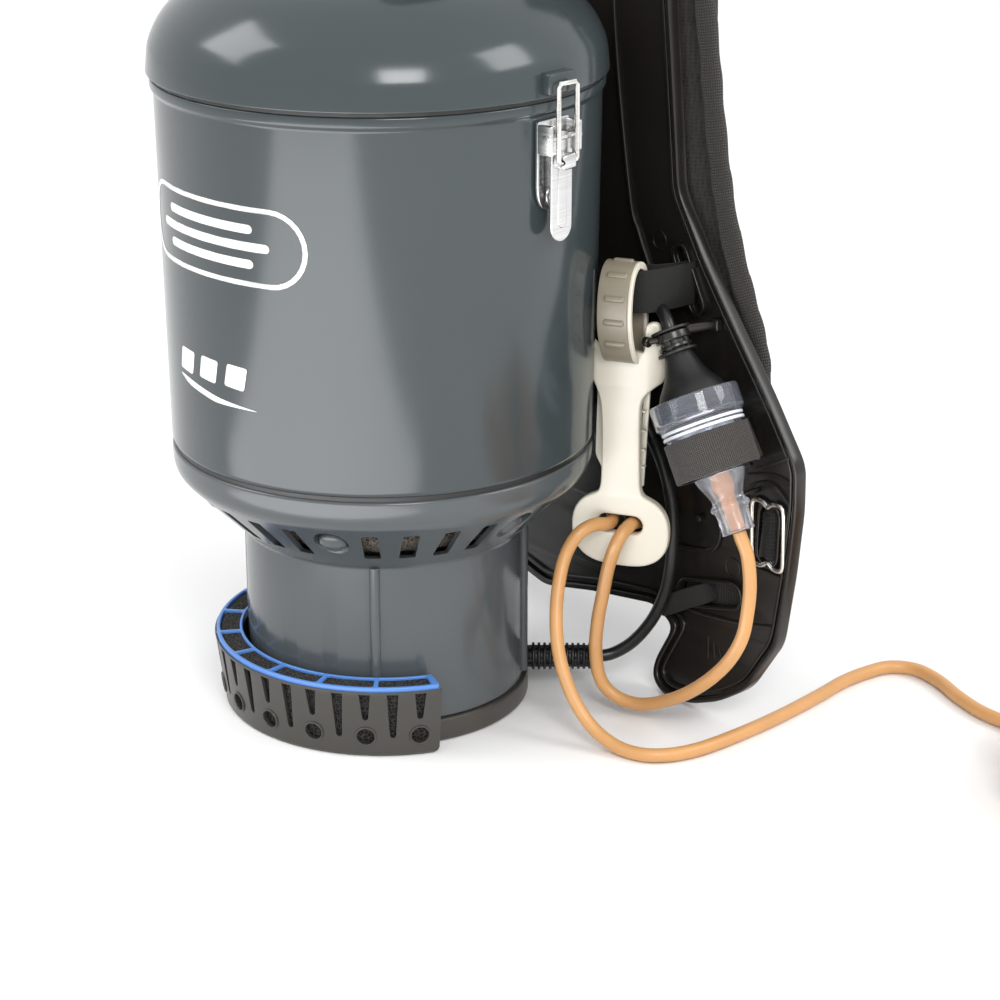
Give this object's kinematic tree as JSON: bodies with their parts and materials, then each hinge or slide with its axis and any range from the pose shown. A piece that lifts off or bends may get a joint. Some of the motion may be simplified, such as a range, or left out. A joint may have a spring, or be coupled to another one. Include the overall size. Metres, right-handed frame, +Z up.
{
  "type": "backpack vacuum cleaner",
  "caption": "Backpack vacuum cleaner: round canister with lift-off lid, slim motor base with exhaust filter, harness plate, cord hook and coiled lead.",
  "frame": {"origin": "on the canister's axis, at the flat underside of the base cap, which stands on the floor", "axes": "+Z up along the canister's axis, +Y towards the wearer's back (harness side), +X to the side that carries the cord hook and the lead"},
  "size_m": [0.6665, 0.4095, 0.474],
  "materials": {
    "charcoal_gloss": "glossy charcoal moulding",
    "grey_plastic": "satin warm dark grey moulding",
    "black_plastic": "satin black moulding",
    "blue_plastic": "satin mid blue moulding",
    "foam": "open-cell black foam",
    "ivory_plastic": "satin ivory moulding",
    "clear_plastic": "clear bluish moulding",
    "rubber": "satin black rubber",
    "steel": "bright plated steel",
    "copper": "copper windings on a laminated core",
    "aluminium": "plain aluminium",
    "webbing": "woven black webbing",
    "mesh_fabric": "black spacer mesh over padding",
    "filter_cloth": "off-white filter cloth",
    "orange_cord": "pale orange flexible sheath",
    "black_cord": "black flexible sheath",
    "red_plastic": "glossy red moulding"
  },
  "bodies": {
    "vacuum": {"back_pad": "mesh_fabric", "back_plate": "black_plastic", "base_cap": "grey_plastic", "bearing_lower": "steel", "bearing_upper": "steel", "belt_wing_left": "mesh_fabric", "belt_wing_right": "mesh_fabric", "bracket_lower": "black_plastic", "bracket_upper": "black_plastic", "buckle_socket": "black_plastic", "carry_handle": "black_plastic", "cord_hook": "ivory_plastic", "fan_case": "aluminium", "filter_bag": "filter_cloth", "filter_bag_ring": "black_plastic", "flex_strain_relief": "rubber", "hook_webbing": "webbing", "latch_plate_left": "steel", "latch_plate_right": "steel", "lead": "orange_cord", "lead_coil": "orange_cord", "lead_plug": "orange_cord", "lead_socket": "clear_plastic", "lead_socket_boot": "clear_plastic", "lower_webbing_left": "webbing", "lower_webbing_right": "webbing", "machine_flex": "black_cord", "machine_plug": "rubber", "motor_foot": "rubber", "motor_frame": "aluminium", "motor_housing": "charcoal_gloss", "motor_seal": "rubber", "plug_clip": "black_plastic", "pre_motor_filter": "foam", "shoulder_strap_left": "mesh_fabric", "shoulder_strap_right": "mesh_fabric", "socket_strap": "webbing", "sound_foam": "foam", "strap_adjuster_left": "black_plastic", "strap_adjuster_right": "black_plastic", "strap_ring_left": "steel", "strap_ring_right": "steel", "switch_bezel": "black_plastic", "tank": "charcoal_gloss"},
    "lid": {"lid": "charcoal_gloss", "lid_gasket": "rubber"},
    "hose_elbow": {"hose_inlet": "black_plastic", "inlet_retainer": "black_plastic"},
    "lever_right": {"latch_lever_right": "steel"},
    "lever_left": {"latch_lever_left": "steel"},
    "claw_right": {"latch_claw_right": "steel"},
    "claw_left": {"latch_claw_left": "steel"},
    "exhaust_cover": {"exhaust_cover": "grey_plastic"},
    "exhaust_filter": {"exhaust_filter_frame": "blue_plastic", "exhaust_foam": "foam"},
    "switch": {"switch_rocker": "red_plastic"},
    "rotor": {"armature": "copper", "impeller": "aluminium"},
    "buckle": {"buckle_tongue": "black_plastic"}
  },
  "joints": [
    {"name": "lid_lift", "type": "slide", "parent": "vacuum", "child": "lid", "axis": [0, 0, 1], "range_m": [0, 0.06]},
    {"name": "hose_swivel", "type": "hinge", "parent": "lid", "child": "hose_elbow", "pos_m": [0, 0, 0.38], "axis": [0, 0, 1], "continuous": true},
    {"name": "latch_right", "type": "hinge", "parent": "vacuum", "child": "lever_right", "pos_m": [0.1126, 0.01783, 0.306], "axis": [0.1564, -0.9877, 0], "range_deg": [0, 95]},
    {"name": "claw_right", "type": "hinge", "parent": "lever_right", "child": "claw_right", "pos_m": [0.11635, 0.01843, 0.2955], "axis": [0.1564, -0.9877, 0], "range_deg": [-90, 0]},
    {"name": "latch_left", "type": "hinge", "parent": "vacuum", "child": "lever_left", "pos_m": [-0.1126, 0.01783, 0.306], "axis": [0.1564, 0.9877, 0], "range_deg": [0, 95]},
    {"name": "claw_left", "type": "hinge", "parent": "lever_left", "child": "claw_left", "pos_m": [-0.11635, 0.01843, 0.2955], "axis": [0.1564, 0.9877, 0], "range_deg": [-90, 0]},
    {"name": "exhaust_cover_pull", "type": "slide", "parent": "vacuum", "child": "exhaust_cover", "axis": [0, -1, 0], "range_m": [0, 0.03]},
    {"name": "exhaust_filter_lift", "type": "slide", "parent": "exhaust_cover", "child": "exhaust_filter", "axis": [0, 0, 1], "range_m": [0, 0.045]},
    {"name": "switch_rock", "type": "hinge", "parent": "vacuum", "child": "switch", "pos_m": [-0.06676, 0.02697, 0.06], "axis": [0.3746, 0.9272, 0], "range_deg": [0, 16]},
    {"name": "motor_spin", "type": "hinge", "parent": "vacuum", "child": "rotor", "pos_m": [0, 0, 0.034], "axis": [0, 0, 1], "continuous": true},
    {"name": "buckle_release", "type": "slide", "parent": "vacuum", "child": "buckle", "axis": [-1, 0, 0], "range_m": [0, 0.02]}
  ],
  "couplings": [
    {"joint": "claw_right", "follows": "latch_right", "ratio": -0.9},
    {"joint": "claw_left", "follows": "latch_left", "ratio": -0.9}
  ]
}
